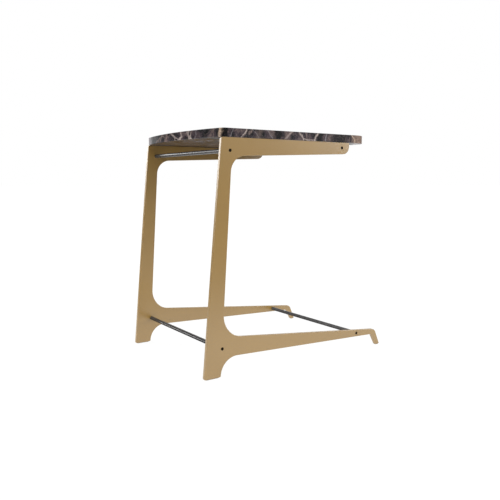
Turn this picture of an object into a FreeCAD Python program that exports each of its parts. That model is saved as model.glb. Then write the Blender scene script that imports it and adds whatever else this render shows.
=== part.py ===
import FreeCAD, Part
import os
import re
import Sketcher

# C-shaped side table: two flat steel side plates, four round spreader rods screwed between
# them, and a stone top bonded to the plates' upper edges. Millimetres and degrees.
# +Z is up, +Y points to the toes and the open side of the C, +X is the right-hand side.
# The origin is on the floor, at the middle of the table's width and depth.

SIZES = {
    # Side plate, seen from the side. Lengths run forward from the heel, heights up from the foot.
    "plate_thickness": 8,
    "plate_height": 550,
    "base_depth": 564,
    "leg_foot_width": 44.3,
    "leg_top_width": 29.7,
    "leg_lean": 49.5,
    "upper_arm_reach": 436,
    "upper_arm_root_depth": 42,
    "upper_arm_tip_depth": 28.5,
    "lower_arm_root_top": 93.7,
    "lower_arm_root_bottom": 46,
    "toe_top_height": 44.2,
    "toe_inner_height": 31.2,
    "toe_width": 14.7,
    "toe_front_angle": 23.5,
    "toe_inner_angle": 29.7,
    # Corner radii of the side plate, and the upright left below the arch under the lower arm
    "heel_radius": 3,
    "foot_front_radius": 3,
    "foot_land": 2,
    "toe_inner_radius": 8,
    "toe_heel_radius": 2,
    "toe_tip_radius": 2,
    "toe_top_radius": 17.5,
    "lower_inner_radius": 54.5,
    "upper_inner_radius": 38.5,
    "arm_tip_radius": 20,
    "arm_front_radius": 1.5,
    "leg_top_radius": 5.5,
    "plate_edge_radius": 0.8,
    # Spreader rods and where they meet the side plates
    "rod_diameter": 10,
    "rod_chamfer": 0.6,
    "rear_lower_rod_height": 66.6,
    "front_lower_rod_inset": 88.5,
    "rear_upper_rod_inset": 22.5,
    "rear_upper_rod_drop": 29.2,
    "front_upper_rod_inset": 25,
    "front_upper_rod_drop": 13.4,
    # Countersunk socket screws, one in each rod end
    "screw_diameter": 4,
    "screw_length": 20,
    "screw_tip_chamfer": 0.6,
    "head_diameter": 7.5,
    "head_rim": 0.2,
    "socket_flats": 2.5,
    "socket_depth": 1.6,
    "screw_hole_clearance": 0.25,
    "thread_clearance": 0.05,
    "bore_spare": 4,
    "drill_point_angle": 59,
    # Stone top, and how far it reaches past the side plates
    "stone_width": 393,
    "stone_thickness": 20,
    "stone_bow": 24.5,
    "stone_side_overhang": 1,
    "stone_rear_overhang": 21,
    "stone_front_overhang": 72.5,
    "stone_rear_radius": 11,
    "stone_front_radius": 48,
    "stone_edge_radius": 1.2,
    # Bond strips under the stone and glides under the feet
    "bond_thickness": 0.5,
    "bond_side_inset": 0.2,
    "glide_thickness": 1,
    "glide_side_inset": 0.2,
}

FULL_TURN = 360
SOCKET_SIDES = 6
SAME_PLACE = 0.001

doc = FreeCAD.newDocument("SideTable")
sheet = doc.addObject("Spreadsheet::Sheet", "Sizes")
for row, (alias, size) in enumerate(SIZES.items(), start=1):
    sheet.set(f"A{row}", alias)
    sheet.set(f"B{row}", str(size))
    sheet.setAlias(f"B{row}", alias)
doc.recompute()


def tied(text):
    """Return the expression with each named size read from the sheet."""
    return re.sub(r"\b[a-z]+(_[a-z]+)+\b", lambda name: "Sizes." + name.group(), text)


def value(text):
    """Work out an expression with the sheet's present sizes."""
    return float(sheet.evalExpression(tied(text)))


def bind(feature, **properties):
    """Tie a feature's properties to expressions in the named sizes."""
    for name, text in properties.items():
        feature.setExpression(name, tied(text))


def place(piece, across, forward, up, turn=0):
    """Stand a piece at a point given across the table, forward of the heel and up from the foot."""
    piece.Placement.Rotation = FreeCAD.Rotation(FreeCAD.Vector(0, 0, 1), turn)
    piece.setExpression("Placement.Base.x", tied(across))
    piece.setExpression("Placement.Base.y", tied(f"{forward} - base_depth / 2"))
    piece.setExpression("Placement.Base.z", tied(f"{up} + glide_thickness"))


# Sketches and features shared by the bodies

def new_sketch(body, name, role):
    """Add an empty sketch on one of the body's own origin planes."""
    plane = next(item for item in body.Origin.OriginFeatures if item.Role == role)
    sketch = body.newObject("Sketcher::SketchObject", name)
    sketch.AttachmentSupport = (plane, [""])
    sketch.MapMode = "FlatFace"
    return sketch


def pin(sketch, geometry, point, corner):
    """Tie one point of the sketch's geometry to a corner given as two expressions."""
    for direction, text in zip(("DistanceX", "DistanceY"), corner):
        index = sketch.addConstraint(Sketcher.Constraint(direction, -1, 1, geometry, point, value(text)))
        sketch.setExpression(f"Constraints[{index}]", tied(text))


def join_ends(sketch, count):
    """Join the sketch's runs end to start, round to the first again."""
    for run in range(count):
        sketch.addConstraint(Sketcher.Constraint("Coincident", run, 2, (run + 1) % count, 1))


def point_at(corner):
    """Return a sketch point for a corner given as two expressions."""
    return FreeCAD.Vector(value(corner[0]), value(corner[1]), 0)


def polygon(body, name, role, corners):
    """Add a closed sketch of straight runs through the corners."""
    sketch = new_sketch(body, name, role)
    points = [point_at(corner) for corner in corners]
    for start, end in zip(points, points[1:] + points[:1]):
        sketch.addGeometry(Part.LineSegment(start, end))
    join_ends(sketch, len(corners))
    for run, corner in enumerate(corners):
        pin(sketch, run, 1, corner)
    return sketch


def feature(body, kind, name, profile, **properties):
    """Add a feature made from a sketch, with its sizes tied to the sheet."""
    doc.recompute()
    item = body.newObject("PartDesign::" + kind, name)
    item.Profile = profile
    bind(item, **properties)
    return item


def fillet(body, name, wanted, radius):
    """Round every edge of the body so far that the test picks out."""
    doc.recompute()
    base = body.Tip
    edges = [f"Edge{index}" for index, edge in enumerate(base.Shape.Edges, start=1) if wanted(edge)]
    item = body.newObject("PartDesign::Fillet", name)
    item.Base = (base, edges)
    bind(item, Radius=radius)


def edge_through(axis, corner):
    """Return a test for the edge that runs along one axis through a corner of the outline."""
    across = [other for other in range(3) if other != axis]
    target = point_at(corner)

    def wanted(edge):
        ends = [vertex.Point for vertex in edge.Vertexes]
        return all(abs(end[i] - target[j]) < SAME_PLACE for end in ends for j, i in enumerate(across))

    return wanted


def edge_in_planes(axis, *levels):
    """Return a test for edges that lie flat at one of the levels along an axis."""
    heights = [value(level) for level in levels]

    def wanted(edge):
        ends = [vertex.Point[axis] for vertex in edge.Vertexes]
        return any(all(abs(end - height) < SAME_PLACE for end in ends) for height in heights)

    return wanted


# Side plates: one outline, cut from sheet, with rounded corners and softened edges

OUTER_FACE = "(stone_width / 2 - stone_side_overhang)"
INNER_FACE = "(stone_width / 2 - stone_side_overhang - plate_thickness)"
SIDES = {"right": "", "left": "-"}


def leg_front(height):
    """Return how far forward the leg's front edge is at a height."""
    return f"(leg_foot_width + ({height}) * (leg_lean + leg_top_width - leg_foot_width) / plate_height)"


TOE_HEEL = "(base_depth - toe_width)"
TOE_INNER = f"({TOE_HEEL} - toe_inner_height * tan(toe_inner_angle))"
TOE_TOP = "(base_depth - toe_top_height * tan(toe_front_angle))"
LOWER_UNDERSIDE = "lower_arm_root_bottom"
UPPER_UNDERSIDE = "(plate_height - upper_arm_root_depth)"
PLATE_CORNERS = {
    "Heel": ("0", "0", "heel_radius"),
    "FootFront": ("leg_foot_width", "0", "foot_front_radius"),
    "UnderArm": (leg_front(LOWER_UNDERSIDE), LOWER_UNDERSIDE, f"{LOWER_UNDERSIDE} - foot_land"),
    "ToeInner": (TOE_INNER, "toe_inner_height", "toe_inner_radius"),
    "ToeHeel": (TOE_HEEL, "0", "toe_heel_radius"),
    "ToeTip": ("base_depth", "0", "toe_tip_radius"),
    "ToeTop": (TOE_TOP, "toe_top_height", "toe_top_radius"),
    "LowerInner": (leg_front("lower_arm_root_top"), "lower_arm_root_top", "lower_inner_radius"),
    "UpperInner": (leg_front(UPPER_UNDERSIDE), UPPER_UNDERSIDE, "upper_inner_radius"),
    "ArmTip": ("upper_arm_reach", "plate_height - upper_arm_tip_depth", "arm_tip_radius"),
    "ArmFront": ("upper_arm_reach", "plate_height", "arm_front_radius"),
    "LegTop": ("leg_lean", "plate_height", "leg_top_radius"),
}


def lower_arm_middle(forward):
    """Return the height of the lower arm's middle line at a distance forward of the heel."""
    root = leg_front("lower_arm_root_top")
    root_height = "(lower_arm_root_top + lower_arm_root_bottom) / 2"
    tip_height = "(toe_top_height + toe_inner_height) / 2"
    slope = f"({tip_height} - {root_height}) / ({TOE_TOP} - {root})"
    return f"({root_height} + ({forward} - {root}) * {slope})"


FRONT_LOWER_FORWARD = "(base_depth - front_lower_rod_inset)"
ROD_PLACES = {
    "rear_lower": (leg_front("rear_lower_rod_height"), "rear_lower_rod_height"),
    "front_lower": (FRONT_LOWER_FORWARD, lower_arm_middle(FRONT_LOWER_FORWARD)),
    "rear_upper": ("(leg_lean + rear_upper_rod_inset)", "(plate_height - rear_upper_rod_drop)"),
    "front_upper": ("(upper_arm_reach - front_upper_rod_inset)", "(plate_height - front_upper_rod_drop)"),
}


def side_plate(side):
    """Pad the outline outwards from the plate's inner face and countersink the screw holes."""
    body = doc.addObject("PartDesign::Body", f"side_plate_{side}")
    outer_face = f"{SIDES[side]}plate_thickness"
    corners = [corner[:2] for corner in PLATE_CORNERS.values()]
    outline = polygon(body, "Outline", "YZ_Plane", corners)
    pad = feature(body, "Pad", "Sheet", outline, Length="plate_thickness")
    pad.Reversed = side == "left"
    for name, corner in PLATE_CORNERS.items():
        fillet(body, name + "Corner", edge_through(0, corner[:2]), corner[2])
    fillet(body, "SoftEdges", edge_in_planes(0, "0", outer_face), "plate_edge_radius")

    centres = new_sketch(body, "ScrewCentres", "YZ_Plane")
    centres.setExpression("AttachmentOffset.Base.z", tied(outer_face))
    hole_diameter = "screw_diameter + 2 * screw_hole_clearance"
    for index, corner in enumerate(ROD_PLACES.values()):
        circle = Part.Circle(point_at(corner), FreeCAD.Vector(0, 0, 1), value(hole_diameter) / 2)
        centres.addGeometry(circle)
        pin(centres, index, 3, corner)
        width = centres.addConstraint(Sketcher.Constraint("Diameter", index, value(hole_diameter)))
        centres.setExpression(f"Constraints[{width}]", tied(hole_diameter))
    holes = feature(body, "Hole", "ScrewHoles", centres, Diameter=hole_diameter)
    holes.Reversed = side == "left"
    holes.DepthType = "ThroughAll"
    holes.HoleCutType = "Countersink"
    holes.HoleCutCustomValues = True
    holes.HoleCutCountersinkAngle = FULL_TURN / 4
    bind(holes, HoleCutDiameter="head_diameter + 2 * head_rim")

    place(body, SIDES[side] + INNER_FACE, "0", "0")
    return body


# Spreader rods: round bar, chamfered, with a tapped hole drilled into each end

def revolve(body, profile):
    """Turn a half section about the sketch's own horizontal axis."""
    turned = feature(body, "Revolution", "Turned", profile)
    turned.ReferenceAxis = (profile, ["H_Axis"])
    turned.Angle = FULL_TURN


def spreader_rod(name):
    """Turn one rod about its length, which runs across the table."""
    body = doc.addObject("PartDesign::Body", f"{name}_rod")
    bore_radius = "(screw_diameter / 2 + thread_clearance)"
    bore_end = f"({OUTER_FACE} - screw_length - bore_spare)"
    half_section = [
        (f"{bore_end} - {bore_radius} / tan(drill_point_angle)", "0"),
        (bore_end, bore_radius),
        (INNER_FACE, bore_radius),
        (INNER_FACE, "rod_diameter / 2 - rod_chamfer"),
        (f"{INNER_FACE} - rod_chamfer", "rod_diameter / 2"),
    ]
    mirrored = [(f"-({along})", radius) for along, radius in reversed(half_section)]
    revolve(body, polygon(body, "HalfSection", "XY_Plane", half_section + mirrored))
    place(body, "0", *ROD_PLACES[name])
    return body


# Screws: countersunk heads with a hexagon socket, flush with the plates' outer faces

def rod_screw(name, side):
    """Turn one screw with its head at the outer face and press the socket into the head."""
    body = doc.addObject("PartDesign::Body", f"{name}_screw_{side}")
    shank_radius = "screw_diameter / 2"
    half_section = [
        ("0", "0"),
        ("0", "head_diameter / 2"),
        ("-head_rim", "head_diameter / 2"),
        ("-head_rim - (head_diameter - screw_diameter) / 2", shank_radius),
        ("screw_tip_chamfer - screw_length", shank_radius),
        ("-screw_length", f"{shank_radius} - screw_tip_chamfer"),
        ("-screw_length", "0"),
    ]
    revolve(body, polygon(body, "HalfSection", "XY_Plane", half_section))
    corner_radius = f"socket_flats / 2 / cos({FULL_TURN / SOCKET_SIDES / 2})"
    angles = [FULL_TURN / SOCKET_SIDES * corner for corner in range(SOCKET_SIDES)]
    hexagon = [(f"{corner_radius} * cos({angle})", f"{corner_radius} * sin({angle})") for angle in angles]
    feature(body, "Pocket", "Socket", polygon(body, "Hexagon", "YZ_Plane", hexagon), Length="socket_depth")
    turn = 0 if side == "right" else FULL_TURN / 2
    place(body, SIDES[side] + OUTER_FACE, *ROD_PLACES[name], turn)
    return body


# Stone top: straight front and sides, rear edge bowed outwards, all corners and edges rounded

STONE_DEPTH = "(stone_rear_overhang + upper_arm_reach - leg_lean + stone_front_overhang)"
STONE_CORNERS = {
    "RearLeft": ("-stone_width / 2", "stone_bow", "stone_rear_radius"),
    "RearRight": ("stone_width / 2", "stone_bow", "stone_rear_radius"),
    "FrontRight": ("stone_width / 2", STONE_DEPTH, "stone_front_radius"),
    "FrontLeft": ("-stone_width / 2", STONE_DEPTH, "stone_front_radius"),
}


def stone_outline(body):
    """Add the slab's outline: an arc along the rear, then three straight runs."""
    sketch = new_sketch(body, "Outline", "XY_Plane")
    corners = [corner[:2] for corner in STONE_CORNERS.values()]
    points = [point_at(corner) for corner in corners]
    rear_middle = FreeCAD.Vector(0, 0, 0)
    sketch.addGeometry(Part.Arc(points[0], rear_middle, points[1]))
    for start, end in zip(points[1:], points[2:] + points[:1]):
        sketch.addGeometry(Part.LineSegment(start, end))
    join_ends(sketch, len(corners))
    for run, corner in enumerate(corners[1:], start=1):
        pin(sketch, run, 1, corner)
    pin(sketch, len(corners) - 1, 2, corners[0])
    bow_radius = "((stone_width / 2) ^ 2 + stone_bow ^ 2) / (2 * stone_bow)"
    bow = sketch.addConstraint(Sketcher.Constraint("Radius", 0, value(bow_radius)))
    sketch.setExpression(f"Constraints[{bow}]", tied(bow_radius))
    return sketch


def stone_top():
    """Pad the slab upwards from its underside."""
    body = doc.addObject("PartDesign::Body", "stone_top")
    feature(body, "Pad", "Slab", stone_outline(body), Length="stone_thickness")
    for name, corner in STONE_CORNERS.items():
        fillet(body, name + "Corner", edge_through(2, corner[:2]), corner[2])
    fillet(body, "SoftEdges", edge_in_planes(2, "0", "stone_thickness"), "stone_edge_radius")
    place(body, "0", "leg_lean - stone_rear_overhang", "plate_height + bond_thickness")
    return body


# Bond strips on the plates' upper edges and glides under their feet, on the flat of the edge

def strip(name, side, start, length, up, thickness, side_inset):
    """Lay a thin strip along the middle of a plate's edge."""
    box = doc.addObject("Part::Box", f"{name}_{side}")
    inset = f"(plate_edge_radius + {side_inset})"
    bind(box, Length=f"plate_thickness - 2 * {inset}", Width=length, Height=thickness)
    low_face = INNER_FACE if side == "right" else f"-{OUTER_FACE}"
    place(box, f"{low_face} + {inset}", start, up)
    return box


def bond_strip(side):
    """Lay one strip along the flat of a plate's upper edge, between its two rounded corners."""
    start = "(leg_lean + leg_top_radius)"
    length = f"upper_arm_reach - arm_front_radius - {start}"
    return strip("bond_strip", side, start, length, "plate_height", "bond_thickness", "bond_side_inset")


def glides(side):
    """Lay one glide under the leg's foot and one under the toe."""
    spans = {
        "rear": ("2 * heel_radius", "leg_foot_width - 2 * foot_front_radius"),
        "front": (f"{TOE_HEEL} + toe_heel_radius", "base_depth - 2 * toe_tip_radius"),
    }
    return [
        strip(f"{where}_glide", side, start, f"{end} - ({start})", "-glide_thickness", "glide_thickness",
              "glide_side_inset")
        for where, (start, end) in spans.items()
    ]


pieces = [stone_top()]
for rod in ROD_PLACES:
    pieces.append(spreader_rod(rod))
    pieces += [rod_screw(rod, side) for side in SIDES]
for side in SIDES:
    pieces += [side_plate(side), bond_strip(side), *glides(side)]
doc.recompute()

failed = [item.Label for item in doc.Objects if {"Invalid", "Error"} & set(item.State)]
if failed:
    raise RuntimeError("These features failed: " + ", ".join(failed))
for piece in pieces:
    if piece.Shape.isNull() or not piece.Shape.isValid() or len(piece.Shape.Solids) != 1:
        raise RuntimeError(f"{piece.Label} is not one sound solid")

os.makedirs("parts", exist_ok=True)
for piece in pieces:
    piece.Shape.exportStep(f"parts/{piece.Label}.step")
    print(f"{piece.Label}: {piece.Shape.Volume:.0f} mm3")
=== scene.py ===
import math

import bpy
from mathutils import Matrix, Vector

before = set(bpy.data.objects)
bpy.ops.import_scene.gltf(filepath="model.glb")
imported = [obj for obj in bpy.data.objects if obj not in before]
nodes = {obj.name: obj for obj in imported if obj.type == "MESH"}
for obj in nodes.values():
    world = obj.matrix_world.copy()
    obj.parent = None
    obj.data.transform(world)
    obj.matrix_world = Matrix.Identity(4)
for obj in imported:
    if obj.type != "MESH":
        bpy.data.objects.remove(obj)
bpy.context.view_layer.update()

# Side plates
# Two flat C-shaped plates cut from 8 mm steel, edges softened, then powder coated in a satin
# bronze-gold. Each stands on its heel and toe and carries the stone along its upper edge.

BRONZE_DEEP = (0.186, 0.107, 0.020, 1)
BRONZE_PALE = (0.215, 0.126, 0.026, 1)
COAT_TONES = (0.7, 1.3)
COAT_SATIN = (0.30, 0.37)
COAT_GLEAM = 1.0
# Features to the metre: slow clouding, the powder's own grain, and the ripple it sets with.
COAT_CLOUDS = 7
COAT_GRAINS = 950
COAT_RIPPLES = 420
COAT_RELIEF = 0.03
COAT_RIPPLE_DEPTH = 0.0003

# The sockets of the node that mixes two colours, which share their names with its other sockets.
MIX_AMOUNT = 0
MIX_UNDER = 6
MIX_OVER = 7
MIX_RESULT = 2


def start_material(name):
    """Make a node material and return it with its tree and its surface shader."""
    material = bpy.data.materials.new(name)
    material.use_nodes = True
    return material, material.node_tree, material.node_tree.nodes["Principled BSDF"]


def add_node(tree, kind, inputs=None, **settings):
    """Add a node, set its properties, and feed its inputs with values or other nodes' outputs."""
    made = tree.nodes.new("ShaderNode" + kind)
    for name, setting in settings.items():
        setattr(made, name, setting)
    for socket, source in (inputs or {}).items():
        if isinstance(source, bpy.types.NodeSocket):
            tree.links.new(source, made.inputs[socket])
        else:
            made.inputs[socket].default_value = source
    return made


def place_on_piece(tree):
    """Return the place on the piece, in metres in the table's own frame."""
    return add_node(tree, "TexCoord").outputs["Object"]


def noise(tree, place, scale, detail=2.0, roughness=0.5):
    """Return a soft random grey over the piece, with features about one over scale metres wide."""
    inputs = {"Vector": place, "Scale": scale, "Detail": detail, "Roughness": roughness}
    return add_node(tree, "TexNoise", inputs).outputs["Fac"]


def plus(tree, first, second):
    """Add two greys."""
    return add_node(tree, "Math", {0: first, 1: second}, operation="ADD").outputs[0]


def spread(tree, grey, low, high, from_low=0.3, from_high=0.7):
    """Stretch a grey between two numbers. Noise lies mostly between the two that it starts from."""
    inputs = {"Value": grey, "From Min": from_low, "From Max": from_high, "To Min": low, "To Max": high}
    return add_node(tree, "MapRange", inputs).outputs["Result"]


def blend_colours(tree, amount, under, over):
    """Lay one colour over another by an amount."""
    inputs = {MIX_AMOUNT: amount, MIX_UNDER: under, MIX_OVER: over}
    return add_node(tree, "Mix", inputs, data_type="RGBA").outputs[MIX_RESULT]


def paint(tree, shader, colour, roughness, gleam):
    """Feed the surface its colour and roughness, and set how strongly it mirrors."""
    tree.links.new(colour, shader.inputs["Base Color"])
    tree.links.new(roughness, shader.inputs["Roughness"])
    shader.inputs["Specular IOR Level"].default_value = gleam


def roughen(tree, shader, height, relief, depth):
    """Give the surface a fine relief from a grey."""
    bump = add_node(tree, "Bump", {"Height": height, "Strength": relief, "Distance": depth})
    tree.links.new(bump.outputs["Normal"], shader.inputs["Normal"])


def cover(names, material):
    """Put a material on CAD nodes."""
    for name in names:
        nodes[name].material_slots[0].material = material


coat, tree, shader = start_material("bronze_powder_coat")
place = place_on_piece(tree)
clouding = noise(tree, place, COAT_CLOUDS, detail=3)
grain = noise(tree, place, COAT_GRAINS)
tone = spread(tree, plus(tree, clouding, grain), 0, 1, *COAT_TONES)
colour = blend_colours(tree, tone, BRONZE_DEEP, BRONZE_PALE)
paint(tree, shader, colour, spread(tree, grain, *COAT_SATIN), COAT_GLEAM)
roughen(tree, shader, noise(tree, place, COAT_RIPPLES), COAT_RELIEF, COAT_RIPPLE_DEPTH)
cover(["side_plate_right", "side_plate_left"], coat)

# Spreader rods
# Four 10 mm round steel bars that hold the plates apart, two low and two under the stone. Drawn bar,
# polished and darkened to gunmetal, with fine drawing lines along its length.

GUNMETAL_DARK = (0.023, 0.022, 0.022, 1)
GUNMETAL_LIGHT = (0.048, 0.047, 0.047, 1)
BAR_TONES = (0.7, 1.3)
BAR_POLISH = (0.20, 0.28)
BAR_GLEAM = 0.3
BAR_PATCHES = 60
# Drawing lines to the metre: few along the bar and many round it.
BAR_LINES = (6, 1100, 1100)
BAR_RELIEF = 0.12
BAR_LINE_DEPTH = 0.0001

gunmetal, tree, shader = start_material("gunmetal_bar")
place = place_on_piece(tree)
lengthwise = add_node(tree, "Mapping", {"Vector": place, "Scale": BAR_LINES}).outputs["Vector"]
draw_lines = noise(tree, lengthwise, 1, detail=3)
patches = noise(tree, place, BAR_PATCHES, detail=4)
tone = spread(tree, plus(tree, draw_lines, patches), 0, 1, *BAR_TONES)
colour = blend_colours(tree, tone, GUNMETAL_DARK, GUNMETAL_LIGHT)
paint(tree, shader, colour, spread(tree, draw_lines, *BAR_POLISH), BAR_GLEAM)
roughen(tree, shader, draw_lines, BAR_RELIEF, BAR_LINE_DEPTH)
cover(["rear_lower_rod", "front_lower_rod", "rear_upper_rod", "front_upper_rod"], gunmetal)

# Rod screws
# Eight countersunk socket screws, one through each plate into each rod end, flush with the plates'
# outer faces. Steel with a black oxide finish, a little rubbed in places.

OXIDE_BLACK = (0.003, 0.0018, 0.001, 1)
OXIDE_RUBBED = (0.009, 0.006, 0.004, 1)


def flecked_finish(name, dark, pale, flecks, detail, matt, gleam, relief, depth):
    """Make a finish whose colour, roughness and fine relief all follow the same flecks."""
    material, tree, shader = start_material(name)
    fleck = noise(tree, place_on_piece(tree), flecks, detail)
    colour = blend_colours(tree, spread(tree, fleck, 0, 1), dark, pale)
    paint(tree, shader, colour, spread(tree, fleck, *matt), gleam)
    roughen(tree, shader, fleck, relief, depth)
    return material


oxide = flecked_finish(
    "black_oxide_screw", OXIDE_BLACK, OXIDE_RUBBED,
    flecks=700, detail=4, matt=(0.55, 0.38), gleam=0.04, relief=0.15, depth=0.0001,
)
cover([name for name in nodes if "_screw_" in name], oxide)

# Glides
# Four thin strips of dark nylon, cut from sheet and stuck under the heels and toes, to keep the steel
# off the floor.

NYLON_DARK = (0.045, 0.036, 0.026, 1)
NYLON_LIGHT = (0.075, 0.060, 0.044, 1)

nylon = flecked_finish(
    "dark_nylon", NYLON_DARK, NYLON_LIGHT,
    flecks=500, detail=4, matt=(0.5, 0.7), gleam=0.5, relief=0.1, depth=0.0001,
)
cover([name for name in nodes if "_glide_" in name], nylon)

# Bond strips
# Two thin strips of dark silicone, run along the plates' upper edges, that bed the stone and hold it
# down.

SILICONE_DARK = (0.030, 0.026, 0.022, 1)
SILICONE_CLOUDY = (0.055, 0.048, 0.042, 1)

silicone = flecked_finish(
    "dark_silicone", SILICONE_DARK, SILICONE_CLOUDY,
    flecks=220, detail=3, matt=(0.25, 0.4), gleam=0.5, relief=0.1, depth=0.0002,
)
cover(["bond_strip_right", "bond_strip_left"], silicone)

# Stone top
# A 20 mm slab of dark marble with a bowed rear edge and rounded front corners, polished on its face
# and edges and honed underneath. Violet-brown ground, crossed by hairlines and some pale veins, with
# reflections painted on its rounded corners.

# The ground's colours, each with the tone that it starts from.
GROUND = (
    (0.38, (0.007, 0.008, 0.008, 1)),
    (0.48, (0.018, 0.016, 0.018, 1)),
    (0.55, (0.038, 0.028, 0.033, 1)),
    (0.63, (0.070, 0.052, 0.052, 1)),
    (0.74, (0.125, 0.095, 0.086, 1)),
)
BLACK = (0.006, 0.006, 0.006, 1)
CREAM = (0.36, 0.30, 0.27, 1)
# Sand and rose-tan are no colours of the stone: they are painted reflections on its rounded corners.
CORNER_REFLECTION_SAND = (0.46, 0.345, 0.255, 1)
CORNER_REFLECTION_ROSE = (0.215, 0.148, 0.114, 1)
BROWN = (0.18, 0.13, 0.115, 1)
LILAC_GREY = (0.20, 0.18, 0.188, 1)

# Each vein, and each painted reflection on a rounded corner: a point on it, the way it climbs up the
# edge, the way it runs across the slab, its half width, how far it can be followed, its colour and how
# strong it is. Metres.
VEINS_AND_CORNER_REFLECTIONS = (
    ((0.1965, -0.076, 0.561), (0.0, 0.1, 1), (-1, 0.2, 0), 0.0200, 0.08, BLACK, 1.3),
    ((0.1965, 0.052, 0.561), (0.0, 0.1, 1), (-1, -0.1, 0), 0.0180, 0.07, BLACK, 1.3),
    ((0.1965, 0.122, 0.561), (0.0, 0.1, 1), (-1, 0.2, 0), 0.0620, 0.12, BLACK, 1.15),
    # The black band and the sand patch on the near rear corner's rounding are a painted reflection, dark
    # then bright.
    ((0.1960, -0.222, 0.561), (0.0, 0.1, 1), (-0.9, 0.3, 0), 0.0110, 0.030, BLACK, 1.6),
    ((0.1900, -0.236, 0.561), (0.1, 0.0, 1), (-0.5, 0.86, 0), 0.0090, 0.040, CORNER_REFLECTION_SAND, 1.0),
    ((0.1965, -0.204, 0.561), (0.0, 0.25, 1), (-0.8, 0.3, 0), 0.0022, 0.14, LILAC_GREY, 0.6),
    ((0.1965, -0.172, 0.561), (0.0, 0.75, 1), (-1, -0.2, 0), 0.0036, 0.30, CREAM, 0.85),
    ((0.1965, -0.152, 0.568), (0.0, 0.9, 1), (-1, 0.1, 0), 0.0050, 0.016, BROWN, 0.8),
    ((0.1965, -0.137, 0.561), (0.0, -0.9, 1), (-1, 0.3, 0), 0.0020, 0.10, LILAC_GREY, 0.55),
    ((0.1965, -0.130, 0.561), (0.0, 0.3, 1), (-1, 0.2, 0), 0.0140, 0.050, BROWN, 0.4),
    ((0.1965, -0.099, 0.561), (0.0, -0.8, 1), (-1, 0.4, 0), 0.0020, 0.20, LILAC_GREY, 0.6),
    ((0.1965, -0.046, 0.561), (0.0, 0.4, 1), (-1, 0.15, 0), 0.0150, 0.090, BROWN, 0.55),
    ((0.1965, -0.040, 0.567), (0.0, 0.9, 1), (-1, 0.15, 0), 0.0035, 0.030, CREAM, 0.5),
    ((0.1965, -0.002, 0.561), (0.0, -0.8, 1), (-1, -0.35, 0), 0.0034, 0.30, CREAM, 0.9),
    ((0.1965, 0.020, 0.553), (0.0, 1, 0.05), (-1, -0.2, 0), 0.0026, 0.028, CREAM, 0.7),
    ((0.1965, 0.040, 0.561), (0.0, 0.55, 1), (-1, 0.5, 0), 0.0034, 0.22, CREAM, 0.8),
    ((0.1965, 0.073, 0.561), (0.0, 0.1, 1), (-1, 0.1, 0), 0.0026, 0.12, LILAC_GREY, 0.8),
    ((0.1965, 0.164, 0.561), (0.0, 0.2, 1), (-1, -0.1, 0), 0.0030, 0.06, BROWN, 0.7),
    # The rose-tan patch and the sand line on the near front corner's rounding are a painted reflection.
    ((0.1900, 0.199, 0.561), (0.0, 0.1, 1), (-0.7, 0.7, 0), 0.0190, 0.050, CORNER_REFLECTION_ROSE, 1.0),
    ((0.1965, 0.172, 0.561), (0.0, -0.4, 1), (-1, 0.3, 0), 0.0030, 0.030, CORNER_REFLECTION_SAND, 0.7),
    # This wide pale lilac-grey patch at the far rear corner is partly streaky veining and partly painted
    # sheen.
    ((-0.180, -0.232, 0.561), (0.2, 0.0, 1), (0.3, 1, 0), 0.0280, 0.07, LILAC_GREY, 0.9),
    ((-0.110, -0.246, 0.561), (0.9, 0.0, 1), (0.2, 1, 0), 0.0120, 0.08, LILAC_GREY, 0.15),
    ((-0.075, -0.250, 0.561), (0.7, 0.0, 1), (-0.1, 1, 0), 0.0050, 0.10, BROWN, 0.5),
    ((-0.036, -0.253, 0.561), (0.6, 0.0, 1), (-0.2, 1, 0), 0.0085, 0.15, BROWN, 0.9),
    ((0.008, -0.253, 0.561), (-0.8, 0.0, 1), (0.3, 1, 0), 0.0034, 0.25, CREAM, 0.75),
    ((0.030, -0.252, 0.553), (1, 0.0, 0.05), (0.1, 1, 0), 0.0028, 0.026, CREAM, 0.8),
    ((0.041, -0.252, 0.561), (0.1, 0.0, 1), (0.1, 1, 0), 0.0030, 0.30, CREAM, 0.65),
    ((0.084, -0.249, 0.561), (0.05, 0.0, 1), (-0.25, 1, 0), 0.0032, 0.22, CREAM, 0.65),
    ((0.104, -0.247, 0.561), (0.3, 0.0, 1), (-0.2, 1, 0), 0.0024, 0.10, LILAC_GREY, 0.6),
    ((0.160, -0.240, 0.561), (0.4, 0.0, 1), (0.4, 1, 0), 0.0080, 0.06, BROWN, 0.45),
    ((-0.060, 0.020, 0.571), (0.3, 0.2, 1), (0.9, 0.45, 0), 0.0045, 0.24, CREAM, 0.75),
    ((-0.100, 0.110, 0.571), (-0.2, 0.3, 1), (0.95, -0.3, 0), 0.0030, 0.20, CREAM, 0.65),
    ((-0.120, -0.080, 0.571), (0.4, 0.0, 1), (0.75, 0.66, 0), 0.0034, 0.17, LILAC_GREY, 0.8),
    ((0.040, 0.130, 0.571), (0.2, -0.3, 1), (0.55, 0.83, 0), 0.0040, 0.13, CREAM, 0.7),
    ((-0.020, 0.190, 0.571), (0.1, 0.2, 1), (0.98, 0.2, 0), 0.0150, 0.11, BROWN, 0.6),
    ((-0.150, 0.040, 0.571), (0.3, 0.1, 1), (0.3, 0.95, 0), 0.0026, 0.16, LILAC_GREY, 0.7),
    ((0.080, -0.030, 0.571), (0.1, 0.4, 1), (0.85, -0.5, 0), 0.0028, 0.10, LILAC_GREY, 0.7),
)
# Each web of fine cracks, filled with paler stone: cells to the metre, line width as a share of a
# cell, how far the lines waver in metres, where they start to show, their colour and strength.
WEBS = (
    (9, 0.030, 0.060, 0.44, BROWN, 0.75),
    (24, 0.040, 0.024, 0.47, BROWN, 0.60),
    (62, 0.060, 0.010, 0.50, LILAC_GREY, 0.45),
)

marble, tree, shader = start_material("dark_marble")
place = place_on_piece(tree)


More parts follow.
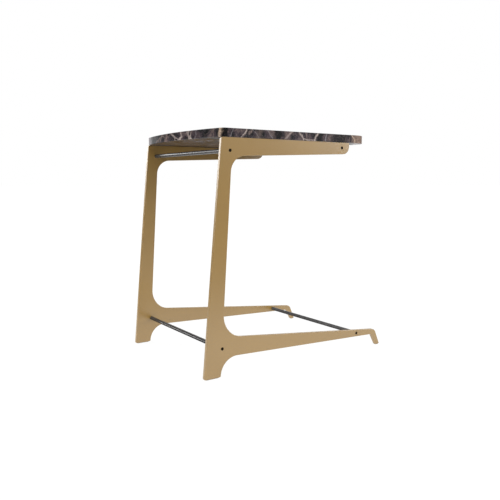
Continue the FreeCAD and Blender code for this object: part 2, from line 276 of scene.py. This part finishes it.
def shifted(tree, place, scale, amount):
    """Push places about by a soft random amount, so that straight runs waver."""
    swirl = add_node(tree, "TexNoise", {"Vector": place, "Scale": scale, "Detail": 3.0}).outputs["Color"]
    middle = (0.5, 0.5, 0.5)
    centred = add_node(tree, "VectorMath", {0: swirl, 1: middle}, operation="SUBTRACT").outputs[0]
    push = add_node(tree, "VectorMath", {0: centred, "Scale": amount}, operation="SCALE").outputs[0]
    return add_node(tree, "VectorMath", {0: place, 1: push}, operation="ADD").outputs[0]


def fall_off(tree, grey, near, far):
    """Return one where the grey is under near, falling to nothing at far."""
    inputs = {"Value": grey, "From Min": near, "From Max": far, "To Min": 1.0, "To Max": 0.0}
    return add_node(tree, "MapRange", inputs, interpolation_type="SMOOTHSTEP").outputs["Result"]


def times(tree, first, second):
    """Multiply two greys."""
    return add_node(tree, "Math", {0: first, 1: second}, operation="MULTIPLY").outputs[0]


def along_way(tree, place, way):
    """Return how far a place lies along a direction."""
    return add_node(tree, "VectorMath", {0: place, 1: way}, operation="DOT_PRODUCT").outputs["Value"]


# The ground: swirled beds of cloud, drifting lighter and darker, with fine specks.
SWIRLS = 16
SWIRL_PUSH = 0.030
BED_TURN = (0, 0, 0.6)
BED_STRETCH = (0.6, 1.1, 1)
CLOUDS = 34
DRIFTS = 9
DRIFT = 0.07
DRIFT_FROM = (0.35, 0.65)
SPECKS = 330
SPECK = 0.07

swirled = shifted(tree, place, SWIRLS, SWIRL_PUSH)
turned = {"Vector": swirled, "Rotation": BED_TURN, "Scale": BED_STRETCH}
bedding = add_node(tree, "Mapping", turned).outputs["Vector"]
clouds = noise(tree, bedding, CLOUDS, detail=10, roughness=0.72)
drift = spread(tree, noise(tree, bedding, DRIFTS, detail=3), -DRIFT, DRIFT, *DRIFT_FROM)
specks = spread(tree, noise(tree, place, SPECKS, detail=3), -SPECK, SPECK)
tone = plus(tree, clouds, plus(tree, drift, specks))
ramp = add_node(tree, "ValToRGB", {"Fac": tone})
stops = ramp.color_ramp.elements
for index, (position, colour) in enumerate(GROUND):
    stop = stops[index] if index < len(stops) else stops.new(position)
    stop.position = position
    stop.color = colour
colour = ramp.outputs["Color"]

# The webs: nets of cracks, torn twice over, that show in patches.
MOTTLES = 260
MOTTLE = (0.3, 1.0)
MOTTLE_FROM = (0.36, 0.58)
TEAR_SHARE = 0.8
FINE_TEAR_SHARE = 4
FINE_PUSH_SHARE = 0.25
PATCH_SHARE = 1.3
PATCH_EDGE = 0.14

mottle = spread(tree, noise(tree, place, MOTTLES, detail=5, roughness=0.7), *MOTTLE, *MOTTLE_FROM)
for cells, width, push, cover_from, tint, strength in WEBS:
    torn = shifted(tree, place, cells * TEAR_SHARE, push)
    torn = shifted(tree, torn, cells * FINE_TEAR_SHARE, push * FINE_PUSH_SHARE)
    cloud = noise(tree, torn, cells * PATCH_SHARE, detail=4)
    patches = spread(tree, cloud, 0, strength, cover_from, cover_from + PATCH_EDGE)
    broken = {"Vector": torn, "Scale": cells, "Randomness": 1.0}
    edge = add_node(tree, "TexVoronoi", broken, feature="DISTANCE_TO_EDGE").outputs["Distance"]
    web = times(tree, fall_off(tree, edge, 0.0, width), times(tree, patches, mottle))
    colour = blend_colours(tree, web, colour, tint)

# The veins and the painted corner reflections: each is true at its own point, and bent, pinched and
# broken further along.
WAVES = 45
WAVE_PUSH = 0.010
BENDS = 9
BEND = 0.5
PINCHES = 85
PINCH = (0.7, 1.7)
PINCH_FROM = (0.35, 0.65)
BREAKS = 17
BREAK = (0.15, 1.0)
BREAK_FROM = (0.40, 0.56)
CORE_SHARE = 0.2
WHOLE_TO = 0.015
BROKEN_FROM = 0.06
FULL_REACH_SHARE = 0.5

wavy = shifted(tree, place, WAVES, WAVE_PUSH)
bend = spread(tree, noise(tree, place, BENDS, detail=4), -BEND, BEND)
pinch = spread(tree, noise(tree, place, PINCHES, detail=3), *PINCH, *PINCH_FROM)
patchy = spread(tree, noise(tree, place, BREAKS, detail=4), *BREAK, *BREAK_FROM)
for centre, climb, run, half_width, reach, tint, strength in VEINS_AND_CORNER_REFLECTIONS:
    across = Vector(climb).cross(Vector(run)).normalized()
    offset = add_node(tree, "VectorMath", {0: wavy, 1: centre}, operation="SUBTRACT").outputs[0]
    aside = along_way(tree, offset, across)
    away = add_node(tree, "VectorMath", {0: place, 1: centre}, operation="DISTANCE").outputs["Value"]
    bent = add_node(tree, "Math", {0: bend, 1: away, 2: aside}, operation="MULTIPLY_ADD").outputs[0]
    distance = times(tree, add_node(tree, "Math", {0: bent}, operation="ABSOLUTE").outputs[0], pinch)
    line = fall_off(tree, distance, half_width * CORE_SHARE, half_width)
    near = fall_off(tree, away, WHOLE_TO, BROKEN_FROM)
    whole = add_node(tree, "Math", {0: near, 1: patchy}, operation="MAXIMUM").outputs[0]
    trace = times(tree, times(tree, line, whole), fall_off(tree, away, reach * FULL_REACH_SHARE, reach))
    colour = blend_colours(tree, times(tree, times(tree, trace, mottle), strength), colour, tint)

# The finish: polished all over but for the honed underside, which is less even and ripples more.
POLISH_PATCHES = 45
POLISH = (0.09, 0.13)
HONED_PATCHES = 55
HONED = (0.06, 0.26)
HONED_FROM = (0.42, 0.58)
STONE_GLEAM = 0.28
HONED_TO = 0.0001
POLISHED_FROM = 0.0003
RIPPLES = 40
HONED_RIPPLE = 6.0
RIPPLE_RELIEF = 0.02
RIPPLE_DEPTH = 0.0001

underside = min(corner[2] for corner in nodes["stone_top"].bound_box)
turn_up = (underside + HONED_TO, underside + POLISHED_FROM)
height = add_node(tree, "SeparateXYZ", {"Vector": place}).outputs["Z"]
polished = spread(tree, noise(tree, place, POLISH_PATCHES, detail=4), *POLISH)
honed = spread(tree, noise(tree, swirled, HONED_PATCHES, detail=4), *HONED, *HONED_FROM)
paint(tree, shader, colour, spread(tree, height, honed, polished, *turn_up), STONE_GLEAM)
ripple = spread(tree, height, HONED_RIPPLE, 1.0, *turn_up)
ripples = times(tree, noise(tree, place, RIPPLES, detail=1), ripple)
roughen(tree, shader, ripples, RIPPLE_RELIEF, RIPPLE_DEPTH)
cover(["stone_top"], marble)

# Floor
# A plain pale studio floor, lit from beneath: a bright ring-shaped pool round the table, a little
# dimmer under it, and a paler sweep that starts far beyond the toes. The camera sees it as white.

FLOOR_HALF = 60
FLOOR_GREY = (0.08, 0.08, 0.08, 1)
FLOOR_MATT = 0.9
POOL_GLOW = 2.0
POOL_EDGE = (0.4, 1.7)
POOL_DIP = 0.70
POOL_DIP_EDGE = (0.33, 0.9)
FAR_GLOW = 0.12
SWEEP_GLOW = 0.7
SWEEP_WAY = Vector((-0.25, 0.97, 0)).normalized()
SWEEP_EDGE = (3.5, 5.5)
NEAR_WHITE = 0.91
FAR_WHITE = 1.0
WHITE_EDGE = (0.5, 3.0)

bpy.ops.object.select_all(action="DESELECT")
bpy.ops.mesh.primitive_plane_add(size=2 * FLOOR_HALF, location=(0, 0, 0))
floor = bpy.context.active_object
floor.name = "studio_floor"
pale, tree, shader = start_material("pale_floor")
shader.inputs["Base Color"].default_value = FLOOR_GREY
shader.inputs["Roughness"].default_value = FLOOR_MATT
shader.inputs["Specular IOR Level"].default_value = 0.0
shader.inputs["Emission Color"].default_value = (1, 1, 1, 1)
place = place_on_piece(tree)
away = add_node(tree, "VectorMath", {0: place}, operation="LENGTH").outputs["Value"]
dip = spread(tree, away, POOL_DIP, 1.0, *POOL_DIP_EDGE)
pool = times(tree, fall_off(tree, away, *POOL_EDGE), dip)
sweep = spread(tree, along_way(tree, place, SWEEP_WAY), FAR_GLOW, SWEEP_GLOW, *SWEEP_EDGE)
glow = spread(tree, pool, sweep, POOL_GLOW, 0, 1)
seen = add_node(tree, "LightPath").outputs["Is Camera Ray"]
white = spread(tree, away, NEAR_WHITE, FAR_WHITE, *WHITE_EDGE)
strength = spread(tree, seen, glow, white, 0, 1)
tree.links.new(strength, shader.inputs["Emission Strength"])
floor.data.materials.append(pale)

# Studio light
# A white backdrop, a paler front wall and a wide soft light from straight above. Five soft boxes light
# the metal. The stone and the low bars would mirror them, so these have fill boxes that leave no
# reflection, and dim boxes for the stone's sheen and the bars' glint.

BACKDROP_WHITE = 1.0
BACKDROP_WAY = Vector((-0.83, 0.56, 0)).normalized()
BACKDROP_EDGE = (0.6, 0.95)
SURROUND_DIM = 0.13
FRONT_WALL = 0.8
FRONT_WALL_WAY = Vector((0.58, 0.815, 0)).normalized()
FRONT_WALL_EDGE = (0.92, 0.99)
OVERHEAD_HEIGHT = 3
OVERHEAD_POWER = 1.0
OVERHEAD_WIDTH = 70
BOX_AIM = Vector((0, 0, 0.3))
# Each soft box for the metal: bearing, height in degrees, distance and side in metres, and watts.
METAL_BOXES = (
    ("key_box", 2, 33, 2.5, 1.6, 26),
    ("camera_box", -30, 17, 3.0, 1.8, 27),
    ("front_box", 61, 25.5, 2.5, 1.5, 54),
    ("rear_box", 262, 26, 2.5, 2.0, 34),
    ("rear_left_box", 211, 25, 2.5, 1.5, 56),
)
# The same for the stone and for each low bar, where the boxes of a kind differ in bearing or watts.
STONE_BOX_AWAY = 2.5
STONE_BOX_SIDE = 2.0
STONE_FILLS = (("stone_right_fill", 15, 70), ("stone_rear_fill", 235, 84))
STONE_FILL_HEIGHT = 26
STONE_SHEENS = (("stone_front_sheen", 75), ("stone_rear_sheen", 250))
STONE_SHEEN_HEIGHT = 38
STONE_SHEEN_POWER = 20
LOW_BAR_FILLS = (("rear_lower_rod", 80), ("front_lower_rod", 230))
BAR_FILL = {"azimuth": -50, "elevation": 20, "distance": 2.5, "size": 1.5}
BAR_GLINT = {"azimuth": 214, "elevation": -3.0, "distance": 2.5, "size": 4.0, "power": 40}
BAR_GLINT_RISE = 0.28

world = bpy.data.worlds.new("studio_surround")
bpy.context.scene.world = world
world.use_nodes = True
tree = world.node_tree
direction = add_node(tree, "TexCoord").outputs["Generated"]
toward_backdrop = along_way(tree, direction, BACKDROP_WAY)
backdrop = spread(tree, toward_backdrop, SURROUND_DIM, BACKDROP_WHITE, *BACKDROP_EDGE)
toward_front = along_way(tree, direction, FRONT_WALL_WAY)
front_wall = spread(tree, toward_front, 0, FRONT_WALL, *FRONT_WALL_EDGE)
seen = add_node(tree, "LightPath").outputs["Is Camera Ray"]
walls = plus(tree, backdrop, front_wall)
strength = add_node(tree, "Math", {0: seen, 1: walls}, operation="MAXIMUM").outputs[0]
tree.links.new(strength, tree.nodes["Background"].inputs["Strength"])
tree.nodes["Background"].inputs["Color"].default_value = (1, 1, 1, 1)

bpy.ops.object.light_add(type="SUN", location=(0, 0, OVERHEAD_HEIGHT))
overhead = bpy.context.active_object
overhead.name = "overhead_light"
overhead.data.energy = OVERHEAD_POWER
overhead.data.angle = math.radians(OVERHEAD_WIDTH)


def light_group(name, pieces):
    """Gather the pieces that a light is meant for."""
    group = bpy.data.collections.new(name)
    for piece in pieces:
        group.objects.link(piece)
    return group


def soft_box(name, azimuth, elevation, distance, size, power, lit):
    """Stand a square soft box at a bearing from the table, turned to face it, to light some pieces."""
    flat = math.cos(math.radians(elevation))
    way = Vector((
        math.cos(math.radians(azimuth)) * flat,
        math.sin(math.radians(azimuth)) * flat,
        math.sin(math.radians(elevation)),
    ))
    bpy.ops.object.light_add(type="AREA", location=BOX_AIM + way * distance)
    box = bpy.context.active_object
    box.name = name
    box.rotation_euler = way.to_track_quat("Z", "Y").to_euler()
    box.data.size = size
    box.data.energy = power
    box.light_linking.receiver_collection = lit
    return box


above_low_bars = [name for name in nodes if "_lower_rod" not in name]
floor.light_linking.receiver_collection = light_group(
    "glowed_on", [nodes[name] for name in above_low_bars]
)
metalwork = light_group("metalwork", [nodes[name] for name in above_low_bars if name != "stone_top"])
metalwork.objects.link(floor)
for name, azimuth, elevation, distance, size, power in METAL_BOXES:
    soft_box(name, azimuth, elevation, distance, size, power, metalwork)

stonework = light_group("stonework", [nodes["stone_top"]])
for name, azimuth, power in STONE_FILLS:
    box = soft_box(
        name, azimuth, STONE_FILL_HEIGHT, STONE_BOX_AWAY, STONE_BOX_SIDE, power, stonework
    )
    box.visible_glossy = False
for name, azimuth in STONE_SHEENS:
    box = soft_box(
        name, azimuth, STONE_SHEEN_HEIGHT, STONE_BOX_AWAY, STONE_BOX_SIDE, STONE_SHEEN_POWER, stonework
    )
    box.visible_diffuse = False

for name, power in LOW_BAR_FILLS:
    low_bar = light_group(name + "_light", [nodes[name]])
    fill = soft_box(name + "_fill", **BAR_FILL, power=power, lit=low_bar)
    fill.visible_glossy = False
    glint = soft_box(name + "_glint", **BAR_GLINT, lit=low_bar)
    glint.data.shape = "RECTANGLE"
    glint.data.size_y = BAR_GLINT_RISE
    glint.visible_diffuse = False

# Camera
# The photograph's own standpoint, solved from the plates' straight edges and the screw heads: a little
# lower than the stone, off the rear right corner, dipped slightly.

CAMERA_PLACE = (1.339046, -0.934609, 0.451053)
CAMERA_DIP = 0.113910
CAMERA_TURN = 0.973069
CAMERA_LENS = 42.837
CAMERA_SENSOR = 36

bpy.ops.object.camera_add(location=CAMERA_PLACE, rotation=(math.pi / 2 - CAMERA_DIP, 0, CAMERA_TURN))
camera = bpy.context.active_object
camera.data.lens = CAMERA_LENS
camera.data.sensor_width = CAMERA_SENSOR
bpy.context.scene.camera = camera
bpy.context.scene.view_settings.view_transform = "Standard"
